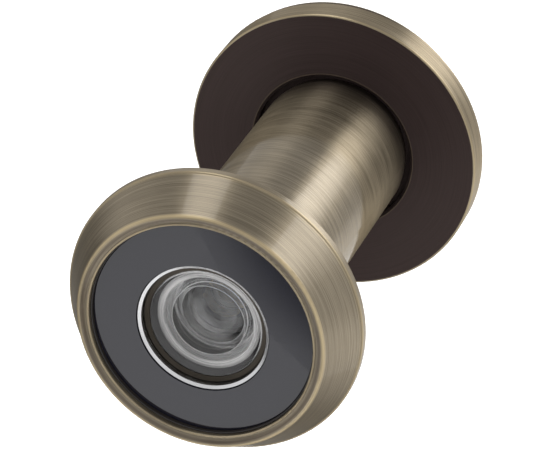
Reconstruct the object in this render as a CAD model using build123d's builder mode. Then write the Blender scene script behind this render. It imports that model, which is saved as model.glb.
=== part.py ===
from build123d import *
import os
from math import cos, radians, sin, sqrt

# Door viewer (peephole): an outdoor half with the objective and an indoor half with the eyepiece,
# screwed together through a door. Millimetres. The optical axis is Y, from outdoors (-Y) to indoors
# (+Y), and +Z is up. The origin is on the axis, in the plane of the door's outer face.
# Turned pieces are half-sections in the XY plane, with x as the radius, revolved about Y.

# ---- Driving dimensions -------------------------------------------------------------------------
barrel_r = 7.75            # outside of the smooth barrel, for a 16 mm hole
barrel_bore_r = 6.95       # inside of the barrel, where the threaded tube runs
grip = 33.75               # distance between the two door faces when screwed fully together
bezel_r = 14.5             # outside of the outdoor bezel
bezel_crest = (11.8, -4.65)  # centre of the rounded crest: radius, station
window_r = 10.96           # bore in the bezel that holds the window
window_face_y = -4.15      # front of the black window disc
window_seat_y = -3.05      # ledge that the disc and the trim ring sit on
flange_r = 15.07           # outside of the indoor flange
flange_t = 2.9             # thickness of the indoor flange
tube_r = 6.85              # outside of the threaded tube
cover_r = 14.52            # outside of the privacy cover
fit_gap = 0.04             # radial gap of pieces that are pushed together
turning_gap = 0.1          # gap between pieces that turn against each other

flange_face_y = grip
flange_back_y = flange_face_y + flange_t


def sag(radius, height):
    """Depth of a spherical surface at a given height from the axis."""
    return radius - sqrt(radius**2 - height**2)


# ---- Outdoor half -------------------------------------------------------------------------------
# Housing: a cone-shaped bezel with a rounded crest and a fine bead round the window, in one piece
# with the barrel, whose tapered nose enters the indoor flange.
crest_round = 0.4          # radius of the crest
crest_turn = 59            # degrees of crest between the groove and the cone
rim_front_y = -0.95        # where the cone meets the rim
rim_round = 0.16
back_chamfer = 0.1
lip_edge_y = -4.82         # inner edge of the lip
lip_bead_r = 0.12          # radius of the fine bead on the inner edge
groove_start = (0.7, 0.7)  # shallow groove from the bead to the crest: its direction at each end
groove_end = (1, -0.1)
groove_pull = (0.5, 0.6)
barrel_straight_y = grip - 0.2
barrel_end_y = grip + 1.15
barrel_nose_r = 7.5

with BuildPart() as front_housing:
    with BuildSketch():
        with BuildLine():
            bead = CenterArc((window_r + lip_bead_r, lip_edge_y), lip_bead_r, 180, 180)
            crest = CenterArc(bezel_crest, crest_round, -90, crest_turn)
            rim = CenterArc((bezel_r - rim_round, rim_front_y + rim_round), rim_round, -90, 90)
            Spline(
                bead @ 1,
                crest @ 0,
                tangents=(groove_start, groove_end),
                tangent_scalars=groove_pull,
            )
            Line(crest @ 1, rim @ 0)
            Polyline(
                rim @ 1,
                (bezel_r, -back_chamfer),
                (bezel_r - back_chamfer, 0),
                (barrel_r, 0),
                (barrel_r, barrel_straight_y),
                (barrel_nose_r, barrel_end_y),
                (barrel_bore_r, barrel_end_y),
                (barrel_bore_r, window_seat_y),
                (window_r, window_seat_y),
                bead @ 0,
            )
        make_face()
    revolve(axis=Axis.Y)
front_housing.part.label = "front_housing"

# Black glass ring. Its face falls away very slightly towards the outside.
window_bore_r = 6.52
gasket_t = 0.12
gasket_gap = 0.02
window_disc_r = window_r - fit_gap - gasket_t - gasket_gap
window_fall = 0.06
window_bevel = 0.06
with BuildPart() as window_disc:
    with BuildSketch():
        with BuildLine():
            Polyline(
                (window_bore_r, window_seat_y),
                (window_bore_r, window_face_y),
                (window_disc_r - window_bevel, window_face_y + window_fall),
                (window_disc_r, window_face_y + window_fall + window_bevel),
                (window_disc_r, window_seat_y),
                close=True,
            )
        make_face()
    revolve(axis=Axis.Y)
window_disc.part.label = "window_disc"

# Black gasket round the disc, standing a little proud of it, with a chamfered inner edge
gasket_outer_r = window_r - fit_gap
gasket_inner_r = gasket_outer_r - gasket_t
gasket_front_y = lip_edge_y + 0.35
gasket_chamfer = 0.05
with BuildPart() as window_gasket:
    with BuildSketch():
        with BuildLine():
            Polyline(
                (gasket_outer_r, window_seat_y),
                (gasket_outer_r, gasket_front_y),
                (gasket_inner_r + gasket_chamfer, gasket_front_y),
                (gasket_inner_r, gasket_front_y + gasket_chamfer),
                (gasket_inner_r, window_seat_y),
                close=True,
            )
        make_face()
    revolve(axis=Axis.Y)
window_gasket.part.label = "window_gasket"

# Silver ring with a wide inside chamfer, set just below the face of the disc
trim_outer_r = window_bore_r - fit_gap
trim_bore_r = 6.14
trim_depth = 0.13
trim_chamfer = 0.17
trim_edge = 0.06
trim_front_y = window_face_y + trim_depth
with BuildPart() as window_trim_ring:
    with BuildSketch():
        with BuildLine():
            Polyline(
                (trim_bore_r, window_seat_y),
                (trim_bore_r, trim_front_y + trim_chamfer),
                (trim_outer_r - trim_edge, trim_front_y),
                (trim_outer_r, trim_front_y + trim_edge),
                (trim_outer_r, window_seat_y),
                close=True,
            )
        make_face()
    revolve(axis=Axis.Y)
window_trim_ring.part.label = "window_trim_ring"

# Cell that carries the objective: a thin nose with a crimped lip over the front lens, then a body
# that slides in the barrel, with a groove for its seal.
cell_r = barrel_bore_r - fit_gap
cell_nose_r = trim_bore_r - fit_gap
cell_nose_y = -3.35
cell_lip_t = 0.15
cell_lip_fall = 0.12
cell_lip_edge = 0.1
front_lens_r = 5.5
lens_seat_y = -1.85
lens_bore_r = 5.0
cell_end_y = 6.2
cell_end_chamfer = 0.3
seal_y = 1.6
seal_wire_r = 0.4
seal_groove_r = 6.1
seal_gap = 0.01
with BuildPart() as lens_cell:
    with BuildSketch():
        with BuildLine():
            Polyline(
                (lens_bore_r, cell_end_y),
                (lens_bore_r, lens_seat_y),
                (front_lens_r + fit_gap, lens_seat_y),
                (front_lens_r + fit_gap, cell_nose_y + cell_lip_fall),
                (cell_nose_r - cell_lip_t, cell_nose_y),
                (cell_nose_r, cell_nose_y + cell_lip_edge),
                (cell_nose_r, window_seat_y),
                (cell_r, window_seat_y),
                (cell_r, seal_y - seal_wire_r),
                (seal_groove_r, seal_y - seal_wire_r),
                (seal_groove_r, seal_y + seal_wire_r),
                (cell_r, seal_y + seal_wire_r),
                (cell_r, cell_end_y - cell_end_chamfer),
                (cell_r - cell_end_chamfer, cell_end_y),
                close=True,
            )
        make_face()
    revolve(axis=Axis.Y)
lens_cell.part.label = "lens_cell"

with BuildPart() as cell_o_ring:
    with BuildSketch():
        with Locations((seal_groove_r + seal_wire_r + seal_gap, seal_y)):
            Circle(seal_wire_r - seal_gap)
    revolve(axis=Axis.Y)
cell_o_ring.part.label = "cell_o_ring"

# Front lens: gently domed outside, hollowed behind, with a flat rim on its seat
front_dome_R = 34.0
front_apex_y = -3.7
front_bevel = 0.12
bowl_R = 6.3
bowl_r = 3.5
front_edge_y = front_apex_y + sag(front_dome_R, front_lens_r - front_bevel)
with BuildPart() as objective_front_lens:
    with BuildSketch():
        with BuildLine():
            dome_end = (front_lens_r - front_bevel, front_edge_y)
            bowl_apex = (0, lens_seat_y - sag(bowl_R, bowl_r))
            RadiusArc((0, front_apex_y), dome_end, -front_dome_R)
            Polyline(
                dome_end,
                (front_lens_r, front_edge_y + front_bevel),
                (front_lens_r, lens_seat_y),
                (bowl_r, lens_seat_y),
            )
            RadiusArc((bowl_r, lens_seat_y), bowl_apex, bowl_R)
            Line(bowl_apex, (0, front_apex_y))
        make_face()
    revolve(axis=Axis.Y)
objective_front_lens.part.label = "objective_front_lens"

# Stack behind the front lens: spacer, domed middle lens, spacer, rear lens, retaining ring
stack_r = lens_bore_r - fit_gap
spacer_front_bore_r = 4.25
spacer_chamfer = 0.12
middle_front_y = -1.05
middle_back_y = 0.7
spacer_rear_bore_r = 3.75
rear_front_y = 2.4
rear_back_y = 4.15
retainer_bore_r = 3.3
retainer_back_y = 5.25
key_slot_w = 1.0
key_slot_depth = 0.5

with BuildPart() as objective_spacer_front:
    with BuildSketch():
        with BuildLine():
            Polyline(
                (spacer_front_bore_r + spacer_chamfer, lens_seat_y),
                (stack_r, lens_seat_y),
                (stack_r, middle_front_y),
                (spacer_front_bore_r, middle_front_y),
                (spacer_front_bore_r, lens_seat_y + spacer_chamfer),
                close=True,
            )
        make_face()
    revolve(axis=Axis.Y)
objective_spacer_front.part.label = "objective_spacer_front"

dome_r = 3.4
dome_R = 5.9
middle_bowl_R = 4.6
middle_bowl_r = 3.3
with BuildPart() as objective_middle_lens:
    with BuildSketch():
        with BuildLine():
            apex = (0, middle_front_y - sag(dome_R, dome_r))
            bowl_apex = (0, middle_back_y - sag(middle_bowl_R, middle_bowl_r))
            RadiusArc(apex, (dome_r, middle_front_y), -dome_R)
            Polyline(
                (dome_r, middle_front_y),
                (stack_r, middle_front_y),
                (stack_r, middle_back_y),
                (middle_bowl_r, middle_back_y),
            )
            RadiusArc((middle_bowl_r, middle_back_y), bowl_apex, middle_bowl_R)
            Line(bowl_apex, apex)
        make_face()
    revolve(axis=Axis.Y)
objective_middle_lens.part.label = "objective_middle_lens"

with BuildPart() as objective_spacer_rear:
    with BuildSketch():
        with Locations(((spacer_rear_bore_r + stack_r) / 2, (middle_back_y + rear_front_y) / 2)):
            Rectangle(stack_r - spacer_rear_bore_r, rear_front_y - middle_back_y)
    revolve(axis=Axis.Y)
objective_spacer_rear.part.label = "objective_spacer_rear"

rear_bowl_R = 7.0
rear_bowl_r = 3.6
with BuildPart() as objective_rear_lens:
    with BuildSketch():
        with BuildLine():
            apex = (0, rear_front_y + sag(rear_bowl_R, rear_bowl_r))
            RadiusArc(apex, (rear_bowl_r, rear_front_y), rear_bowl_R)
            Polyline(
                (rear_bowl_r, rear_front_y),
                (stack_r, rear_front_y),
                (stack_r, rear_back_y),
                (0, rear_back_y),
                apex,
            )
        make_face()
    revolve(axis=Axis.Y)
objective_rear_lens.part.label = "objective_rear_lens"

with BuildPart() as cell_retaining_ring:
    with BuildSketch():
        with Locations(((retainer_bore_r + stack_r) / 2, (rear_back_y + retainer_back_y) / 2)):
            Rectangle(stack_r - retainer_bore_r, retainer_back_y - rear_back_y)
    revolve(axis=Axis.Y)
    with Locations((0, retainer_back_y - key_slot_depth / 2, 0)):
        Box(3 * stack_r, key_slot_depth, key_slot_w, mode=Mode.SUBTRACT)
cell_retaining_ring.part.label = "cell_retaining_ring"

# ---- Indoor half --------------------------------------------------------------------------------
# Flange: flat face to the door with a recess for the barrel's nose. Its back has a bore for the eye,
# two coin slots and, near the top, the hole of the pivot on which the cover swings.
recess_r = 8.26
recess_depth = 1.5
recess_chamfer = 0.28
face_edge_round = 0.22
back_edge_round = 0.15
eye_bore_r = 6.3
coin_slot_l = 20.0
coin_slot_w = 1.6
coin_slot_depth = 0.6
pivot_z = 11.1
pivot_hole_r = 1.1
pivot_hole_floor_y = flange_face_y + 0.8
tube_end_y = flange_back_y - 0.25
recess_floor_y = flange_face_y + recess_depth
with BuildPart() as rear_flange:
    with BuildSketch():
        with BuildLine():
            face_edge = CenterArc(
                (flange_r - face_edge_round, flange_face_y + face_edge_round), face_edge_round, -90, 90
            )
            back_edge = CenterArc(
                (flange_r - back_edge_round, flange_back_y - back_edge_round), back_edge_round, 0, 90
            )
            Line(face_edge @ 1, back_edge @ 0)
            Polyline(
                back_edge @ 1,
                (eye_bore_r, flange_back_y),
                (eye_bore_r, tube_end_y),
                (tube_r, tube_end_y),
                (tube_r, recess_floor_y),
                (recess_r, recess_floor_y),
                (recess_r, flange_face_y + recess_chamfer),
                (recess_r + recess_chamfer, flange_face_y),
                face_edge @ 0,
            )
        make_face()
    revolve(axis=Axis.Y)
    with Locations((0, flange_back_y - coin_slot_depth / 2, 0)):
        Box(coin_slot_l, coin_slot_depth, coin_slot_w, mode=Mode.SUBTRACT)
    with BuildSketch(Plane.XZ.offset(-pivot_hole_floor_y)):
        with Locations((0, pivot_z)):
            Circle(pivot_hole_r)
    extrude(amount=-flange_t, mode=Mode.SUBTRACT)
rear_flange.part.label = "rear_flange"

# Tube pressed into the flange. Its thread runs in the barrel and sets the door thickness.
tube_front_y = 6.6
tube_bore_r = 5.6
tube_chamfer = 0.5
eyepiece_seat_y = 33.0
eyepiece_bore_r = 6.05
with BuildPart() as rear_threaded_tube:
    with BuildSketch():
        with BuildLine():
            Polyline(
                (tube_bore_r, tube_front_y),
                (tube_r - tube_chamfer, tube_front_y),
                (tube_r, tube_front_y + tube_chamfer),
                (tube_r, tube_end_y),
                (eyepiece_bore_r, tube_end_y),
                (eyepiece_bore_r, eyepiece_seat_y),
                (tube_bore_r, eyepiece_seat_y),
                close=True,
            )
        make_face()
    revolve(axis=Axis.Y)
rear_threaded_tube.part.label = "rear_threaded_tube"

# Thin stop with a collar that grips the tube's bore
baffle_y = 13.0
baffle_t = 0.8
baffle_bore_r = 3.6
baffle_collar = 0.5
baffle_r = tube_bore_r - 0.01
with BuildPart() as light_baffle:
    with BuildSketch():
        with BuildLine():
            Polyline(
                (baffle_bore_r, baffle_y),
                (baffle_bore_r + baffle_collar, baffle_y + baffle_t),
                (baffle_r, baffle_y + baffle_t),
                (baffle_r, baffle_y - baffle_t),
                (baffle_r - baffle_collar, baffle_y - baffle_t),
                (baffle_r - baffle_collar, baffle_y),
                close=True,
            )
        make_face()
    revolve(axis=Axis.Y)
light_baffle.part.label = "light_baffle"

# Eyepiece: a double convex lens and its seal, between the tube's shoulder and a slotted ring
eyepiece_r = eyepiece_bore_r - turning_gap
eyepiece_R = 12.0
eyepiece_edge_t = 1.0
eyepiece_edge_w = 0.6
edge_front_y = eyepiece_seat_y + turning_gap
edge_back_y = edge_front_y + eyepiece_edge_t
with BuildPart() as eyepiece_lens:
    with BuildSketch():
        with BuildLine():
            bulge_r = eyepiece_r - eyepiece_edge_w
            apex_front = (0, edge_front_y - sag(eyepiece_R, bulge_r))
            apex_back = (0, edge_back_y + sag(eyepiece_R, bulge_r))
            RadiusArc(apex_front, (bulge_r, edge_front_y), -eyepiece_R)
            Polyline(
                (bulge_r, edge_front_y),
                (eyepiece_r, edge_front_y),
                (eyepiece_r, edge_back_y),
                (bulge_r, edge_back_y),
            )
            RadiusArc((bulge_r, edge_back_y), apex_back, -eyepiece_R)
            Line(apex_back, apex_front)
        make_face()
    revolve(axis=Axis.Y)
eyepiece_lens.part.label = "eyepiece_lens"

o_ring_wire_r = 0.28
o_ring_y = edge_back_y + o_ring_wire_r
with BuildPart() as eyepiece_o_ring:
    with BuildSketch():
        with Locations((eyepiece_r - o_ring_wire_r, o_ring_y)):
            Circle(o_ring_wire_r)
    revolve(axis=Axis.Y)
eyepiece_o_ring.part.label = "eyepiece_o_ring"

ring_front_y = o_ring_y + o_ring_wire_r + turning_gap
ring_back_y = tube_end_y - 0.1
ring_bore_r = 4.9
ring_flare = 0.55
ring_flare_depth = 0.9
ring_back_off = 0.1
with BuildPart() as eyepiece_retaining_ring:
    with BuildSketch():
        with BuildLine():
            Polyline(
                (ring_bore_r + ring_back_off, ring_front_y),
                (eyepiece_bore_r - fit_gap, ring_front_y),
                (eyepiece_bore_r - fit_gap, ring_back_y),
                (ring_bore_r + ring_flare, ring_back_y),
                (ring_bore_r, ring_back_y - ring_flare_depth),
                close=True,
            )
        make_face()
    revolve(axis=Axis.Y)
    with Locations((0, ring_back_y - key_slot_depth / 2, 0)):
        Box(key_slot_w, key_slot_depth, 3 * ring_bore_r, mode=Mode.SUBTRACT)
eyepiece_retaining_ring.part.label = "eyepiece_retaining_ring"

# ---- Privacy cover ------------------------------------------------------------------------------
# A disc that covers the whole flange and swings on a rivet near the top, with a thumb ridge at the
# bottom. It hangs closed, a little to one side.
cover_t = 1.2
cover_edge_round = 0.15
cover_hang = radians(2)    # how far it hangs towards -X
washer_h = 0.3             # height of the sprung washer between flange and cover
cover_front_y = flange_back_y + washer_h
cover_back_y = cover_front_y + cover_t
rivet_r = 1.0
rivet_gap = 0.06
rivet_head_r = 2.1
rivet_head_h = 0.7
rivet_head_round = 0.5
rivet_front_y = pivot_hole_floor_y + turning_gap
thumb_drop = 21.4          # distance of the thumb ridge from the pivot
thumb_size = (5.4, 1.4)
thumb_h = 0.8
thumb_round = 0.3
# Plane of the cover's front, with its origin on the pivot and its y axis through the cover's centre
cover_plane = Plane(
    origin=(0, cover_front_y, pivot_z),
    x_dir=(cos(cover_hang), 0, -sin(cover_hang)),
    z_dir=(0, -1, 0),
)
with BuildPart() as privacy_cover:
    with BuildSketch(cover_plane):
        with Locations((0, -pivot_z)):
            Circle(cover_r)
        Circle(rivet_r + rivet_gap, mode=Mode.SUBTRACT)
    extrude(amount=-cover_t)
    rims = privacy_cover.edges().filter_by(GeomType.CIRCLE).sort_by(SortBy.RADIUS)[-2:]
    fillet(rims, radius=cover_edge_round)
    with BuildSketch(cover_plane.offset(-cover_t)):
        with Locations((0, -thumb_drop)):
            SlotOverall(*thumb_size)
    extrude(amount=-thumb_h)
    thumb_edges = privacy_cover.faces().sort_by(Axis.Y)[-1].edges()
    fillet(thumb_edges, radius=thumb_round)
privacy_cover.part.label = "privacy_cover"

with BuildPart() as cover_rivet:
    with BuildSketch(Plane.XZ.offset(-rivet_front_y)):
        with Locations((0, pivot_z)):
            Circle(rivet_r)
    extrude(amount=-(cover_back_y + rivet_gap - rivet_front_y))
    with BuildSketch(Plane.XZ.offset(-(cover_back_y + rivet_gap))):
        with Locations((0, pivot_z)):
            Circle(rivet_head_r)
    extrude(amount=-rivet_head_h)
    head_edge = cover_rivet.faces().sort_by(Axis.Y)[-1].edges()
    fillet(head_edge, radius=rivet_head_round)
cover_rivet.part.label = "cover_rivet"

# Conical spring washer between the flange and the cover, revolved about the pivot
washer_t = 0.12
washer_r = 2.4
washer_gap = 0.04
washer_back_y = cover_front_y - washer_gap
with BuildPart() as cover_spring_washer:
    with BuildSketch(Plane.XY.offset(pivot_z)):
        with BuildLine():
            Polyline(
                (rivet_r + turning_gap, washer_back_y - washer_t),
                (rivet_r + turning_gap, washer_back_y),
                (washer_r, flange_back_y + washer_t),
                (washer_r, flange_back_y),
                close=True,
            )
        make_face()
    revolve(axis=Axis((0, 0, pivot_z), (0, 1, 0)))
cover_spring_washer.part.label = "cover_spring_washer"

# ---- Output -------------------------------------------------------------------------------------
pieces = [
    front_housing, window_disc, window_gasket, window_trim_ring, lens_cell, cell_o_ring,
    objective_front_lens, objective_spacer_front, objective_middle_lens, objective_spacer_rear,
    objective_rear_lens, cell_retaining_ring, rear_flange, rear_threaded_tube, light_baffle,
    eyepiece_lens, eyepiece_o_ring, eyepiece_retaining_ring, privacy_cover, cover_rivet,
    cover_spring_washer,
]
os.makedirs("parts", exist_ok=True)
for piece in pieces:
    export_step(piece.part, f"parts/{piece.part.label}.step")
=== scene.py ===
from collections import namedtuple
from math import cos, pi, radians, sin, sqrt, tan

import bmesh
import bpy
from mathutils import Matrix, Vector


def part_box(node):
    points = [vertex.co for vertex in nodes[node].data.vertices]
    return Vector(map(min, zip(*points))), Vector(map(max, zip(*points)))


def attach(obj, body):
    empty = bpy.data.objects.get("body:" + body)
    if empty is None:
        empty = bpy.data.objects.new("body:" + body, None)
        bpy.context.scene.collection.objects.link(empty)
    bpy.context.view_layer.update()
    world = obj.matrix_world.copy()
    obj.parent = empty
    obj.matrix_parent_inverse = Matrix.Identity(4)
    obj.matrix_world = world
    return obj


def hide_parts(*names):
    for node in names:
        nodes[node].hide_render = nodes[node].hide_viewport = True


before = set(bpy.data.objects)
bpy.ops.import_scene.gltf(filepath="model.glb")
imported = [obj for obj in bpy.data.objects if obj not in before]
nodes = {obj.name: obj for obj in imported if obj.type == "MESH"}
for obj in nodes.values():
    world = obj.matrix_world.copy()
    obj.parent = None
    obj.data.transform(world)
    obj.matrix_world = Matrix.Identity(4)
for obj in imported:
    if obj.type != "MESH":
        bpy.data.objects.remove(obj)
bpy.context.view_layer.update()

# The looks of a door viewer: brushed antique brass under clear lacquer, a black glass window, the
# lens stack and the screw thread. Lengths are in metres, and mm turns millimetres into them.
# The optical axis is Y. Radius is the distance from it, and station is the place along it.
mm = 0.001

# ---- Places on the object -----------------------------------------------------------------------
bezel_low, bezel_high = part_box("front_housing")
flange_low, flange_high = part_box("rear_flange")
cover_low, cover_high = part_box("privacy_cover")
tube_low, tube_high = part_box("rear_threaded_tube")
front_lens_low, front_lens_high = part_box("objective_front_lens")
rear_lens_low, rear_lens_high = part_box("objective_rear_lens")
eye_lens_low, eye_lens_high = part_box("eyepiece_lens")
spacer_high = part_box("objective_spacer_front")[1]
middle_lens_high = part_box("objective_middle_lens")[1]
window_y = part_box("window_disc")[0].y
bezel_r = bezel_high.x
crest_y = bezel_low.y
flange_r = flange_high.x
flange_face_y = flange_low.y
flange_back_y = flange_high.y
cover_r = (cover_high.x - cover_low.x) / 2
cover_centre = ((cover_low.x + cover_high.x) / 2, (cover_low.z + cover_high.z) / 2)
tube_r = tube_high.x
spacer_r = spacer_high.x

# Places that no box gives
barrel_r = 7.75 * mm
rim_y = -0.95 * mm             # where the cone meets the bezel's rim
crest_r = 12.05 * mm           # rounded crest of the bezel
lip_r = 11.05 * mm             # fine lip round the window
lip_y = -4.9 * mm
nose_back_y = -2.95 * mm       # behind the nose of the lens cell
recess_r = 8.54 * mm           # recess in the flange for the end of the barrel
cover_back_y = cover_low.y + 1.2 * mm

# Lens surfaces: a curve is the radius of a sphere, and a rim is where its surface ends
contact_gap = 0.015 * mm       # between glass and the piece it rests on
front_dome = 34.0 * mm
front_bevel = 0.12 * mm
front_bowl = 6.3 * mm
front_bowl_rim = 3.5 * mm
front_lens_back_y = front_lens_high.y - contact_gap
middle_dome = 5.9 * mm
middle_dome_rim = 3.4 * mm
middle_bowl = 4.6 * mm
middle_bowl_rim = 3.3 * mm
middle_face_y = spacer_high.y + contact_gap
rear_bowl = 7.0 * mm
rear_bowl_rim = 3.6 * mm
eye_bulge = 12.0 * mm
eye_land = 0.6 * mm            # flat ring between the bulge and the rim


def sag(curve, radius):
    """Depth of a spherical surface at a given radius."""
    return curve - sqrt(curve**2 - radius**2)


# ---- Node graphs --------------------------------------------------------------------------------
# A place on a turned surface, with its direction from the axis on the unit circle
RoundPlace = namedtuple("RoundPlace", "radius station east north")
# A round edge, the width of the mark along it, and how strong that is, up to one
Edge = namedtuple("Edge", "radius station width strength")
# The part of a turned surface between two radii and two stations
RoundFace = namedtuple("RoundFace", "low_r high_r low_y high_y")


class Graph:
    """A node tree, with short calls that add nodes and hand back their outputs."""

    def __init__(self, tree):
        self.tree = tree

    def node(self, kind):
        return self.tree.nodes.new("ShaderNode" + kind)

    def put(self, value, socket):
        if isinstance(value, bpy.types.NodeSocket):
            self.tree.links.new(value, socket)
        elif socket.type == "RGBA":
            socket.default_value = (*value[:3], 1)
        else:
            socket.default_value = value

    def math(self, operation, *values):
        node = self.node("Math")
        node.operation = operation
        for value, socket in zip(values, node.inputs):
            self.put(value, socket)
        return node.outputs[0]

    def plus(self, first, second):
        return self.math("ADD", first, second)

    def minus(self, first, second):
        return self.math("SUBTRACT", first, second)

    def times(self, first, second):
        return self.math("MULTIPLY", first, second)

    def larger(self, first, second):
        return self.math("MAXIMUM", first, second)

    def without(self, value, mask):
        """The value, brought down to nought where the mask is one."""
        return self.minus(value, self.times(value, mask))

    def remap(self, value, start, end, low=0.0, high=1.0):
        """Smooth step from low to high as the value goes from start to end."""
        node = self.node("MapRange")
        node.interpolation_type = "SMOOTHSTEP"
        names = ("Value", "From Min", "From Max", "To Min", "To Max")
        for item, name in zip((value, start, end, low, high), names):
            self.put(item, node.inputs[name])
        return node.outputs[0]

    def spread(self, noise, low=0.0, high=1.0):
        """Noise seldom leaves the range from 0.3 to 0.7, which is spread from low to high."""
        return self.remap(noise, 0.3, 0.7, low, high)

    def mix(self, factor, first, second):
        node = self.node("Mix")
        node.data_type = "RGBA"
        self.put(factor, node.inputs[0])
        self.put(first, node.inputs[6])
        self.put(second, node.inputs[7])
        return node.outputs[2]

    def combine(self, x, y, z):
        node = self.node("CombineXYZ")
        for value, socket in zip((x, y, z), node.inputs):
            self.put(value, socket)
        return node.outputs[0]

    def coordinates(self, kind):
        """The three outputs X, Y and Z of a texture coordinate."""
        split = self.node("SeparateXYZ")
        self.put(self.node("TexCoord").outputs[kind], split.inputs[0])
        return split.outputs


class Surface(Graph):
    """A material on the Principled shader. Places are in the object's own axes, in metres."""

    def __init__(self, name):
        self.material = bpy.data.materials.new(name)
        self.material.use_nodes = True
        super().__init__(self.material.node_tree)
        self.shader = self.tree.nodes["Principled BSDF"]

    def set(self, **values):
        """Sets the shader's sockets: base_color=..., coat_weight=..., and so on."""
        for name, value in values.items():
            words = name.replace("_", " ")
            socket = next(s for s in self.shader.inputs if s.name.lower() == words)
            self.put(value, socket)

    def noise(self, vector, scale, detail=3.0, roughness=0.6):
        node = self.node("TexNoise")
        self.put(vector, node.inputs["Vector"])
        node.inputs["Scale"].default_value = scale
        node.inputs["Detail"].default_value = detail
        node.inputs["Roughness"].default_value = roughness
        return node.outputs["Fac"]

    def clouds(self, scale, detail=3.0, roughness=0.6):
        """Noise that is the same size in every direction."""
        return self.noise(self.node("TexCoord").outputs["Object"], scale, detail, roughness)

    def round_place(self, centre=(0.0, 0.0)):
        """Radius about an axis along Y, station along it, and the direction on the unit circle."""
        place = self.coordinates("Object")
        x = self.minus(place["X"], centre[0])
        z = self.minus(place["Z"], centre[1])
        squares = self.plus(self.times(x, x), self.times(z, z))
        radius = self.math("SQRT", self.larger(squares, 1e-12))
        east = self.math("DIVIDE", x, radius)
        north = self.math("DIVIDE", z, radius)
        return RoundPlace(radius, place["Y"], east, north)

    def streaks(self, where, across, along, detail=3.0, seed=0.0):
        """Noise drawn out round the axis, with this many streaks across a metre and along a radian."""
        profile = self.times(self.plus(where.radius, where.station), across)
        east = self.times(where.east, along)
        north = self.times(where.north, along)
        return self.noise(self.combine(east, north, self.plus(profile, seed)), 1.0, detail)

    def near_edge(self, where, edge):
        """One at a round edge, falling to nothing at the edge's width from it."""
        dr = self.minus(where.radius, edge.radius)
        dy = self.minus(where.station, edge.station)
        squares = self.plus(self.times(dr, dr), self.times(dy, dy))
        return self.remap(self.math("SQRT", squares), 0.0, edge.width, 1.0, 0.0)

    def between(self, value, low, high):
        """One between two values and nought outside."""
        return self.times(self.math("GREATER_THAN", value, low), self.math("LESS_THAN", value, high))

    def on_face(self, where, face):
        """One on a round face and nought elsewhere."""
        radial = self.between(where.radius, face.low_r, face.high_r)
        return self.times(radial, self.between(where.station, face.low_y, face.high_y))

    def bump(self, height, distance, strength):
        node = self.node("Bump")
        node.inputs["Distance"].default_value = distance
        node.inputs["Strength"].default_value = strength
        self.put(height, node.inputs["Height"])
        self.put(node.outputs[0], self.shader.inputs["Normal"])

    def turned(self, amount):
        """Highlights spread across the turning marks, which run round Y."""
        node = self.node("Tangent")
        node.direction_type = "RADIAL"
        node.axis = "Y"
        self.put(node.outputs[0], self.shader.inputs["Tangent"])
        self.set(anisotropic=amount, anisotropic_rotation=0.25)


def glow(name, radiance, becomes=None, between=(0.0, 1.0), along="X"):
    """Emission of one radiance, or one that becomes another between two places along a sheet's X or Y,
    where the sheet goes from 0 to 1."""
    material = bpy.data.materials.new(name)
    material.use_nodes = True
    g = Graph(material.node_tree)
    g.tree.nodes.clear()
    emission = g.node("Emission")
    strength = radiance
    if becomes is not None:
        strength = g.remap(g.coordinates("UV")[along], *between, radiance, becomes)
    g.put((1, 1, 1), emission.inputs["Color"])
    g.put(strength, emission.inputs["Strength"])
    g.put(emission.outputs[0], g.node("OutputMaterial").inputs["Surface"])
    return material


# ---- Camera: outdoors, to the right and above, with no roll -------------------------------------
view_azimuth = radians(19.15)      # from -Y towards +X
view_elevation = radians(28.39)
view_distance = 339.4 * mm
aim = Vector((-4.26, 28.51, -6.58)) * mm
sensor_width_mm = 36.0
focal_length_mm = 219.273
axis = Vector((0, 1, 0))
view = Vector((
    sin(view_azimuth) * cos(view_elevation),
    -cos(view_azimuth) * cos(view_elevation),
    sin(view_elevation),
))
near_side = Vector((view.x, 0, view.z)).normalized()   # from the axis towards the camera
right_side = Vector((near_side.z, 0, -near_side.x))    # square to it, towards the image's lower right


def around(turn):
    """Direction square to the axis, turned from the camera's side towards the lower right."""
    return near_side * cos(turn) + right_side * sin(turn)


def add_camera():
    data = bpy.data.cameras.new("camera")
    data.sensor_width = sensor_width_mm
    data.lens = focal_length_mm
    data.clip_start = 0.01
    data.clip_end = 20.0
    camera = bpy.data.objects.new("camera", data)
    camera.location = aim + view * view_distance
    camera.rotation_euler = view.to_track_quat("Z", "Y").to_euler()
    bpy.context.scene.collection.objects.link(camera)
    bpy.context.scene.camera = camera


# ---- Stage and light ----------------------------------------------------------------------------
floor_z = -150 * mm
floor_size = 8.0
lit_middle = Vector((0, 12 * mm, 0))     # what the lights face


def link_object(name, mesh, matrix=Matrix.Identity(4)):
    thing = bpy.data.objects.new(name, mesh)
    thing.matrix_world = matrix
    bpy.context.scene.collection.objects.link(thing)
    return thing


def rectangle(name, width, height, matrix):
    """A sheet in its own XY plane, with UVs from 0 to 1."""
    mesh = bpy.data.meshes.new(name)
    corners = [(0, 0), (1, 0), (1, 1), (0, 1)]
    points = [((u - 0.5) * width, (v - 0.5) * height, 0) for u, v in corners]
    mesh.from_pydata(points, [], [(0, 1, 2, 3)])
    uv = mesh.uv_layers.new(name="UVMap")
    for loop, corner in zip(uv.data, corners):
        loop.uv = corner
    return link_object(name, mesh, matrix)


def facing(place, target, upward):
    """Matrix of a sheet at a place, with +Z towards the target and +Y near the upward direction."""
    z = (target - place).normalized()
    x = upward.cross(z).normalized()
    y = z.cross(x)
    turned = Matrix((x, y, z)).transposed().to_4x4()
    turned.translation = place
    return turned


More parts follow.
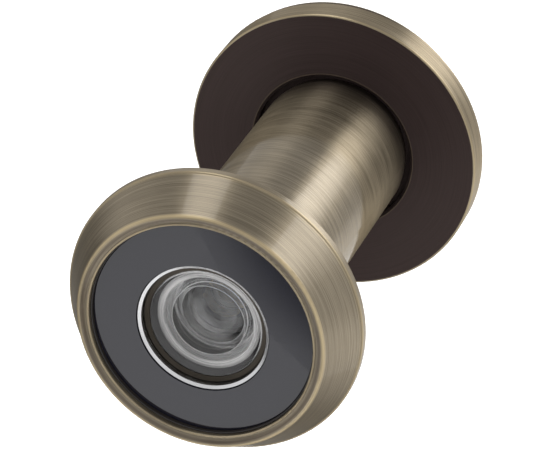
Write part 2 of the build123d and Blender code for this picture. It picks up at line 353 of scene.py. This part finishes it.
def add_softbox(name, turn, tilt, distance, size, material, lights=True):
    """A glowing sheet that faces the viewer's middle. The turn goes round the axis, and the tilt
    leans towards +Y. A flag is a grey sheet that is only mirrored and lights nothing."""
    place = lit_middle + (around(turn) * cos(tilt) + axis * sin(tilt)) * distance
    sheet = rectangle(name, *size, facing(place, lit_middle, axis))
    sheet.data.materials.append(material)
    sheet.visible_camera = False
    sheet.visible_shadow = False
    sheet.visible_diffuse = lights


def add_floor():
    floor = rectangle("floor", floor_size, floor_size, Matrix.Translation((0, 0, floor_z)))
    g = Surface("floor_white")
    g.set(base_color=(0.9, 0.9, 0.9), roughness=1.0)
    g.set(emission_color=(1, 1, 1), emission_strength=0.35)
    floor.data.materials.append(g.material)


def add_world():
    """A white room, a little dimmer overhead."""
    world = bpy.data.worlds.new("studio")
    bpy.context.scene.world = world
    world.use_nodes = True
    g = Graph(world.node_tree)
    background = g.tree.nodes["Background"]
    level_light = 1.15
    overhead_light = 0.6
    upward = g.coordinates("Generated")["Z"]
    strength = g.remap(upward, 0.25, 0.95, level_light, overhead_light)
    g.put((1, 1, 1), background.inputs["Color"])
    g.put(strength, background.inputs["Strength"])


def add_dark_card():
    """A dark sheet low in front of the window, which the black glass mirrors as a dark sector."""
    start = radians(1.2)       # angle between the mirrored line of sight and the card's lower edge
    width = 260 * mm
    height = 80 * mm
    distance = 180 * mm
    mirrored = Vector((-view.x, view.y, -view.z))
    lean = around(radians(15))
    up_the_card = (lean - mirrored * lean.dot(mirrored)).normalized()
    window = Vector((0, window_y, 0))
    lower_edge = window + (mirrored + up_the_card * tan(start)) * distance
    place = lower_edge + up_the_card * (height / 2)
    card = rectangle("dark_card", width, height, facing(place, window, up_the_card))
    grey = glow("card_grey", 1.1, becomes=0.3, between=(0.0, 0.12), along="Y")
    card.data.materials.append(grey)
    card.visible_camera = False
    card.visible_diffuse = False
    card.visible_shadow = False


add_camera()
add_floor()
add_world()
add_dark_card()
add_softbox(
    "key_softbox",
    turn=radians(24),
    tilt=radians(26),
    distance=0.5,
    size=(0.38, 0.64),
    material=glow("key_light", 1.6, becomes=5.4, between=(0.0, 0.7)),
)
add_softbox(
    "top_softbox",
    turn=radians(-49),
    tilt=radians(-4),
    distance=0.5,
    size=(0.2, 0.36),
    material=glow("top_light", 3.6),
)
add_softbox(
    "left_flag",
    turn=radians(-146),
    tilt=radians(20),
    distance=0.2,
    size=(0.36, 0.38),
    material=glow("left_grey", 1.1, becomes=0.25, between=(0.0, 0.35)),
    lights=False,
)
add_softbox(
    "right_flag",
    turn=radians(140),
    tilt=radians(18),
    distance=0.12,
    size=(0.17, 0.13),
    material=glow("right_grey", 0.25, becomes=1.1, between=(0.55, 1.0)),
    lights=False,
)
bpy.context.scene.view_settings.view_transform = "Standard"

# ---- Materials ----------------------------------------------------------------------------------
# Colours are linear red, green and blue.
patina = (0.13, 0.108, 0.076)
rubbed_brass = (0.37, 0.315, 0.228)
worn_gold = (0.54, 0.43, 0.25)
# Dark patina, also painted as shade in hollows beside other parts and at the barrel's far end
dark_patina_and_shade = (0.026, 0.017, 0.017)
marked_dark_patina_and_shade = (0.039, 0.0255, 0.0255)
dip_patina = (0.075, 0.055, 0.04)
brass_edge_tint = (0.62, 0.55, 0.45)
machined_dull = (0.46, 0.33, 0.14)
machined_bright = (0.66, 0.51, 0.25)
tarnish = (0.27, 0.18, 0.09)
clean_black = (0.006, 0.006, 0.012)
dusty_black = (0.014, 0.014, 0.022)
rubber_dark = (0.008, 0.006, 0.005)
rubber_light = (0.019, 0.014, 0.012)
ring_dull = (0.44, 0.44, 0.45)
ring_bright = (0.66, 0.66, 0.67)
anodised_dark = (0.022, 0.018, 0.015)
anodised_light = (0.055, 0.045, 0.038)
nose_dark = (0.02, 0.016, 0.012)
nose_light = (0.05, 0.041, 0.03)
spacer_grey = (0.48, 0.475, 0.47)
spacer_pale = (0.78, 0.77, 0.75)
# Painted shade on the outside of the spacers
spacer_painted_shade = (0.24, 0.235, 0.23)
steel_dull = (0.42, 0.42, 0.43)
steel_bright = (0.62, 0.62, 0.62)
clear_tint = (0.985, 0.985, 0.99)
dusty_tint = (0.8865, 0.8865, 0.891)
# Pale matt glass, painted as highlights along lens edges
painted_edge_highlight = (0.86, 0.86, 0.85)
seat_paint = (0.012, 0.011, 0.012)


def antique_brass(
    name,
    edges,
    dark_faces,
    centre=(0.0, 0.0),
    rubbed=0.45,
    lacquer=0.4,
    painted_shade_span=None,
    lacquer_end=None,
    dips=(),
):
    """Lacquered brass, brushed round an axis along Y through the centre's X and Z. Its edges are worn
    gold. Its dark faces take dark patina: real patina on faces towards the door, and painted shade on
    faces in hollows beside other parts. Painted shade also sets in from one station to another, and the
    lacquer thins out in the same way. Dips are round hollows that hold dark patina."""
    g = Surface(name)
    where = g.round_place(centre)
    fine = g.streaks(where, across=18 / mm, along=1.6, detail=2.0)
    coarse = g.streaks(where, across=7 / mm, along=0.9, detail=3.0, seed=7.0)
    grain = g.plus(g.times(fine, 0.6), g.times(coarse, 0.4))
    rub = g.plus(g.remap(grain, 0.4, 0.6), g.times(g.clouds(0.25 / mm), 0.3))
    dark = 0.0
    for face in dark_faces:
        dark = g.larger(dark, g.on_face(where, face))
    rings = g.mix(g.spread(grain), dark_patina_and_shade, marked_dark_patina_and_shade)
    colour = g.mix(g.times(rub, rubbed), patina, rubbed_brass)
    colour = g.mix(dark, colour, rings)
    # Painted shade: darker towards the barrel's far end, where the flange shades it and is mirrored in
    # it
    if painted_shade_span:
        colour = g.mix(g.remap(where.station, *painted_shade_span, 0.0, 0.8), colour, rings)
    for dip in dips:
        colour = g.mix(g.times(g.near_edge(where, dip), dip.strength), colour, dip_patina)
    for edge in edges:
        wear = g.remap(grain, 0.3, 0.6, 0.55 * edge.strength, edge.strength)
        colour = g.mix(g.times(g.near_edge(where, edge), wear), colour, worn_gold)
    bare = g.larger(dark, g.remap(where.station, *lacquer_end)) if lacquer_end else dark
    # Dark patina and the dark painted shade are rougher than the brass, and less of a mirror
    g.set(base_color=colour, metallic=g.minus(1.0, g.times(dark, 0.6)))
    g.set(roughness=g.plus(g.spread(grain, 0.34, 0.46), g.times(dark, 0.12)))
    g.set(coat_weight=g.without(lacquer, bare), coat_roughness=0.08, coat_ior=1.5)
    g.set(specular_tint=brass_edge_tint)
    g.turned(0.85)
    g.bump(grain, 0.004 * mm, 0.6)
    return g.material


def bezel_brass():
    """Gold on the crest, the rim and the lip, dark patina towards the door, and painted shade at the
    far end of the barrel beside the flange.
    """
    edges = [
        Edge(crest_r, crest_y, width=0.36 * mm, strength=0.85),
        Edge(bezel_r, rim_y, width=0.4 * mm, strength=0.4),
        Edge(lip_r, lip_y, width=0.2 * mm, strength=0.4),
    ]
    back_face = RoundFace(barrel_r + 0.05 * mm, bezel_r - 0.05 * mm, -0.08 * mm, 0.05 * mm)
    groove_r = (lip_r + crest_r) / 2
    groove_y = (lip_y + crest_y) / 2
    groove = Edge(groove_r, groove_y, width=0.32 * mm, strength=0.7)
    return antique_brass(
        "antique_brass_bezel",
        edges,
        [back_face],
        # Painted shade and painted reflection of the dark flange at the barrel's far end
        painted_shade_span=(29.5 * mm, 34.5 * mm),
        lacquer_end=(17.5 * mm, 26.5 * mm),
        dips=[groove],
    )


def flange_brass():
    """Gold on the edges, with a door face of dark patina and a recess painted dark as shade."""
    in_front_y = flange_face_y - 0.1 * mm
    edges = [
        Edge(flange_r, flange_face_y, width=0.25 * mm, strength=0.6),
        Edge(flange_r, flange_back_y, width=0.3 * mm, strength=0.2),
        Edge(recess_r, flange_face_y, width=0.12 * mm, strength=0.12),
    ]
    door_face = RoundFace(recess_r, flange_r - 0.2 * mm, in_front_y, flange_face_y + 0.08 * mm)
    # The recess is painted dark as the shade in the gap round the barrel's end
    recess = RoundFace(0.0, recess_r, in_front_y, flange_face_y + 1.8 * mm)
    return antique_brass(
        "antique_brass_flange",
        edges,
        [door_face, recess],
        rubbed=0.58,
        lacquer=0.12,
    )


def cover_brass():
    """The cover's rim is painted dark as shade and as the flange's dark back mirrored in it, up to
    the worn edge at its back.
    """
    back_edge = Edge(cover_r, cover_back_y, width=0.25 * mm, strength=0.6)
    # Painted shade and painted reflection: the rim beside the flange's back is dark
    rim = RoundFace(
        cover_r - 0.1 * mm,
        cover_r + 0.1 * mm,
        cover_low.y - 0.1 * mm,
        cover_back_y - back_edge.width,
    )
    return antique_brass("antique_brass_cover", [back_edge], [rim], cover_centre)


def machined_brass():
    """Plain turned brass with patches of tarnish."""
    g = Surface("machined_brass")
    fine = g.streaks(g.round_place(), across=14 / mm, along=3.0, detail=2.0)
    colour = g.mix(g.spread(fine), machined_dull, machined_bright)
    patches = g.remap(g.clouds(0.4 / mm, 4.0), 0.45, 0.75, 0.0, 0.6)
    colour = g.mix(patches, colour, tarnish)
    g.set(base_color=colour, metallic=1.0, roughness=g.spread(fine, 0.22, 0.38))
    g.turned(0.6)
    g.bump(fine, 0.003 * mm, 0.6)
    return g.material


def black_glass():
    """Opaque polished glass with faint dust."""
    g = Surface("black_glass")
    dust = g.remap(g.clouds(6 / mm, 4.0, 0.75), 0.55, 0.8)
    g.set(base_color=g.mix(dust, clean_black, dusty_black))
    g.set(metallic=0.0, ior=1.6, roughness=g.spread(g.clouds(0.3 / mm), 0.02, 0.05))
    return g.material


def black_rubber():
    """Matt rubber, a little warm, with a fine grain."""
    g = Surface("black_rubber")
    grain = g.clouds(12 / mm)
    patches = g.clouds(0.8 / mm, 2.0)
    g.set(base_color=g.mix(patches, rubber_dark, rubber_light))
    g.set(metallic=0.0, ior=1.5, roughness=g.spread(grain, 0.5, 0.7))
    g.bump(grain, 0.004 * mm, 0.5)
    return g.material


def bright_ring():
    """Bright turned metal of the ring round the lens."""
    g = Surface("bright_ring")
    fine = g.streaks(g.round_place(), across=20 / mm, along=3.0, detail=2.0)
    g.set(base_color=g.mix(fine, ring_dull, ring_bright), metallic=1.0)
    g.set(roughness=g.spread(fine, 0.16, 0.3))
    g.turned(0.5)
    g.bump(fine, 0.002 * mm, 0.5)
    return g.material


def dark_anodised():
    """Finely turned dark metal, browner on the nose of the lens cell."""
    g = Surface("dark_anodised")
    where = g.round_place()
    fine = g.streaks(where, across=12 / mm, along=3.0, detail=2.0)
    nose = g.remap(where.station, nose_back_y - 0.05 * mm, nose_back_y + 0.05 * mm, 1.0, 0.0)
    plain = g.mix(fine, anodised_dark, anodised_light)
    brown = g.mix(fine, nose_dark, nose_light)
    g.set(base_color=g.mix(nose, plain, brown), metallic=0.7)
    g.set(roughness=g.spread(fine, 0.3, 0.45))
    g.turned(0.5)
    g.bump(fine, 0.003 * mm, 0.5)
    return g.material


def light_spacer():
    """Satin light grey ring, finely turned, with painted shade towards its outside."""
    g = Surface("light_spacer")
    where = g.round_place()
    fine = g.streaks(where, across=5 / mm, along=0.8, detail=2.0)
    colour = g.mix(g.remap(fine, 0.35, 0.65), spacer_grey, spacer_pale)
    # Painted shade towards the outside of the ring, where it meets the cell
    wall_shade = g.remap(where.radius, spacer_r - 0.51 * mm, spacer_r - 0.01 * mm)
    colour = g.mix(wall_shade, colour, spacer_painted_shade)
    g.set(base_color=colour, metallic=0.4, roughness=g.spread(fine, 0.25, 0.4))
    g.turned(0.6)
    g.bump(fine, 0.003 * mm, 0.6)
    return g.material


def spring_steel():
    """Bright steel with fine marks."""
    g = Surface("spring_steel")
    fine = g.streaks(g.round_place(), across=12 / mm, along=3.0, detail=2.0)
    g.set(base_color=g.mix(fine, steel_dull, steel_bright), metallic=1.0)
    g.set(roughness=g.spread(fine, 0.25, 0.4))
    g.bump(fine, 0.002 * mm, 0.5)
    return g.material


def optical_glass(name, highlight_edges=(), painted=None):
    """Polished clear glass with a trace of dust. Its edges given here are painted pale and matt, as
    highlights where light is refracted at them, and the painted face is a seat painted black."""
    g = Surface(name)
    where = g.round_place()
    dust = g.clouds(5 / mm, 4.0, 0.75)
    colour = g.mix(g.remap(dust, 0.6, 0.8, 0.0, 0.5), clear_tint, dusty_tint)
    roughness = g.remap(dust, 0.6, 0.8, 0.0, 0.06)
    clear = 1.0
    paint = 0.0
    # Painted highlights: pale matt bands along the given edges
    if highlight_edges:
        highlight = 0.0
        for edge in highlight_edges:
            highlight = g.larger(highlight, g.times(g.near_edge(where, edge), edge.strength))
        colour = g.mix(highlight, colour, painted_edge_highlight)
        roughness = g.plus(roughness, g.times(highlight, 0.5))
        clear = g.minus(1.0, highlight)
    if painted:
        paint = g.on_face(where, painted)
        colour = g.mix(paint, colour, seat_paint)
        clear = g.without(clear, paint)
    g.set(base_color=colour, metallic=paint, roughness=roughness)
    g.set(transmission_weight=clear, ior=1.46)
    return g.material


def front_glass():
    """Painted highlights, pale and matt, at the rim of the hollow and on the bevel, with black paint
    where it meets the cell.
    """
    dome_rim = front_lens_high.x - front_bevel
    bevel_y = front_lens_low.y + sag(front_dome, dome_rim) + front_bevel / 2
    bevel = Edge(dome_rim + front_bevel / 2, bevel_y, width=0.08 * mm, strength=0.3)
    hollow = Edge(front_bowl_rim, front_lens_back_y, width=0.07 * mm, strength=0.9)
    seat = RoundFace(
        spacer_r,
        front_lens_high.x + 0.1 * mm,
        front_lens_high.y - 0.1 * mm,
        front_lens_high.y + 0.05 * mm,
    )
    return optical_glass("front_lens_glass", [hollow, bevel], seat)


def middle_glass():
    """Painted highlights, pale and matt, at the rim of the dome, on a fine ring outside it and softly
    on the land round both.
    """
    ring_r = middle_dome_rim + 0.24 * mm
    land_r = middle_dome_rim + 0.75 * mm
    dome = Edge(middle_dome_rim, middle_face_y, width=0.09 * mm, strength=0.95)
    ring = Edge(ring_r, middle_face_y, width=0.05 * mm, strength=0.5)
    land = Edge(land_r, middle_face_y, width=0.3 * mm, strength=0.4)
    return optical_glass("middle_lens_glass", [dome, ring, land])


def give_material(thing, material):
    thing.data.materials.clear()
    thing.data.materials.append(material)


machined = machined_brass()
lens_glass = optical_glass("optical_glass")
finishes = [
    (bezel_brass(), ["front_housing"]),
    (flange_brass(), ["rear_flange"]),
    (cover_brass(), ["privacy_cover"]),
    (black_glass(), ["window_disc"]),
    (black_rubber(), ["window_gasket", "cell_o_ring", "eyepiece_o_ring"]),
    (bright_ring(), ["window_trim_ring"]),
    (dark_anodised(), ["lens_cell", "cell_retaining_ring", "light_baffle"]),
    (light_spacer(), ["objective_spacer_front", "objective_spacer_rear"]),
    (machined, ["eyepiece_retaining_ring", "cover_rivet"]),
    (spring_steel(), ["cover_spring_washer"]),
]
for material, node_names in finishes:
    for node_name in node_names:
        give_material(nodes[node_name], material)

# ---- Turned pieces ------------------------------------------------------------------------------
lathe_segments = 144
surface_steps = 20


def spherical(apex, curve, rim):
    """Points on a lens surface from the axis to its rim. A positive curve has its centre towards +Y."""
    side = 1 if curve > 0 else -1
    radii = [rim * i / surface_steps for i in range(surface_steps + 1)]
    return [(r, apex + curve - side * sqrt(curve**2 - r**2)) for r in radii]


def finish_mesh(mesh, sharp_angle):
    """Faces turned outwards and shaded smooth, apart from sharp edges."""
    work = bmesh.new()
    work.from_mesh(mesh)
    bmesh.ops.recalc_face_normals(work, faces=work.faces)
    work.to_mesh(mesh)
    work.free()
    for face in mesh.polygons:
        face.use_smooth = True
    mesh.set_sharp_from_angle(angle=sharp_angle)


def lathe(name, outline):
    """Solid of revolution about Y from a closed outline of radius and station."""
    points = []
    rings = []
    for radius, station in outline:
        count = 1 if radius == 0 else lathe_segments
        rings.append(range(len(points), len(points) + count))
        for k in range(count):
            turn = 2 * pi * k / lathe_segments
            points.append((radius * sin(turn), station, radius * cos(turn)))
    faces = []
    for here, there in zip(rings, rings[1:] + rings[:1]):
        if len(here) == 1 and len(there) == 1:
            continue
        for k in range(lathe_segments):
            n = (k + 1) % lathe_segments
            corners = [here[k % len(here)], here[n % len(here)]]
            corners += [there[n % len(there)], there[k % len(there)]]
            faces.append(list(dict.fromkeys(corners)))
    mesh = bpy.data.meshes.new(name)
    mesh.from_pydata(points, [], faces)
    finish_mesh(mesh, radians(25))
    return link_object(name, mesh)


def stand_for(piece, node, body, material):
    """The piece takes a CAD node's place on its body, with its finish."""
    give_material(piece, material)
    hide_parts(node)
    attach(piece, body)


def front_lens():
    """Gently domed in front, with a bevelled rim and a hollow behind."""
    rim = front_lens_high.x
    back = front_lens_back_y
    dome = spherical(front_lens_low.y, front_dome, rim - front_bevel)
    hollow = spherical(back - sag(front_bowl, front_bowl_rim), front_bowl, front_bowl_rim)
    edge = [(rim, dome[-1][1] + front_bevel), (rim, back)]
    return lathe("front_lens", dome + edge + hollow[::-1])


def middle_lens():
    """Strongly domed in front, with a flat land round the dome and a hollow behind."""
    rim = middle_lens_high.x
    face = middle_face_y
    back = middle_lens_high.y - contact_gap
    dome = spherical(face - sag(middle_dome, middle_dome_rim), middle_dome, middle_dome_rim)
    hollow = spherical(back - sag(middle_bowl, middle_bowl_rim), middle_bowl, middle_bowl_rim)
    return lathe("middle_lens", dome + [(rim, face), (rim, back)] + hollow[::-1])


def rear_lens():
    """Hollow in front and flat behind."""
    rim = rear_lens_high.x
    face = rear_lens_low.y + contact_gap
    back = rear_lens_high.y - contact_gap
    hollow = spherical(face + sag(rear_bowl, rear_bowl_rim), -rear_bowl, rear_bowl_rim)
    return lathe("rear_lens", hollow + [(rim, face), (rim, back), (0.0, back)])


def eye_lens():
    """Bulging on both sides."""
    rim = eye_lens_high.x
    bulge_rim = rim - eye_land
    depth = sag(eye_bulge, bulge_rim)
    front = spherical(eye_lens_low.y, eye_bulge, bulge_rim)
    back = spherical(eye_lens_high.y, -eye_bulge, bulge_rim)
    edge = [(rim, eye_lens_low.y + depth), (rim, eye_lens_high.y - depth)]
    return lathe("eye_lens", front + edge + back[::-1])


stand_for(front_lens(), "objective_front_lens", "outdoor_half", front_glass())
stand_for(middle_lens(), "objective_middle_lens", "outdoor_half", middle_glass())
stand_for(rear_lens(), "objective_rear_lens", "outdoor_half", lens_glass)
stand_for(eye_lens(), "eyepiece_lens", "eyepiece", lens_glass)

# ---- Threaded tube ------------------------------------------------------------------------------
thread_pitch = 1.0 * mm
thread_depth = 0.42 * mm
thread_crest = 0.14        # share of the pitch that is flat at the crest
thread_root = 0.22         # share that is flat at the root
thread_segments = 120
thread_steps = 10          # stations per turn
thread_end_y = 32.4 * mm
thread_runout = 0.8 * mm
tube_chamfer = 0.5 * mm
tube_bore_r = 5.6 * mm
eyepiece_bore_r = 6.05 * mm
eyepiece_seat_y = 33.0 * mm


def limited(value):
    """The value, kept between nought and one."""
    return min(max(value, 0.0), 1.0)


def thread_radius(station, turn):
    """Radius of a right-hand screw about +Y at a station and an angle from +Z towards +X."""
    phase = (station / thread_pitch - turn / (2 * pi)) % 1.0
    flank = (1 - thread_crest - thread_root) / 2
    from_crest = min(phase, 1 - phase)
    depth = limited((from_crest - thread_crest / 2) / flank) * thread_depth
    depth *= limited((thread_end_y - station) / thread_runout)
    chamfer_r = tube_r - tube_chamfer + (station - tube_low.y)
    return min(tube_r - depth, chamfer_r)


def threaded_tube():
    """A closed grid of rings, out along the thread and back through the bore. A ring without a radius
    of its own follows the thread."""
    front, end = tube_low.y, tube_high.y
    count = round((thread_end_y - front) / thread_pitch * thread_steps)
    rings = [(front + (thread_end_y - front) * i / count, None) for i in range(count + 1)]
    rings += [(end, None), (end, eyepiece_bore_r), (eyepiece_seat_y, eyepiece_bore_r)]
    rings += [(eyepiece_seat_y, tube_bore_r), (front, tube_bore_r)]
    points = []
    for station, bore_r in rings:
        for k in range(thread_segments):
            turn = 2 * pi * k / thread_segments
            r = bore_r or thread_radius(station, turn)
            points.append((r * sin(turn), station, r * cos(turn)))
    faces = []
    for i in range(len(rings)):
        here = i * thread_segments
        there = (i + 1) % len(rings) * thread_segments
        for k in range(thread_segments):
            n = (k + 1) % thread_segments
            faces.append((here + k, here + n, there + n, there + k))
    mesh = bpy.data.meshes.new("threaded_tube")
    mesh.from_pydata(points, [], faces)
    finish_mesh(mesh, radians(35))
    return link_object("threaded_tube", mesh)


stand_for(threaded_tube(), "rear_threaded_tube", "indoor_half", machined)
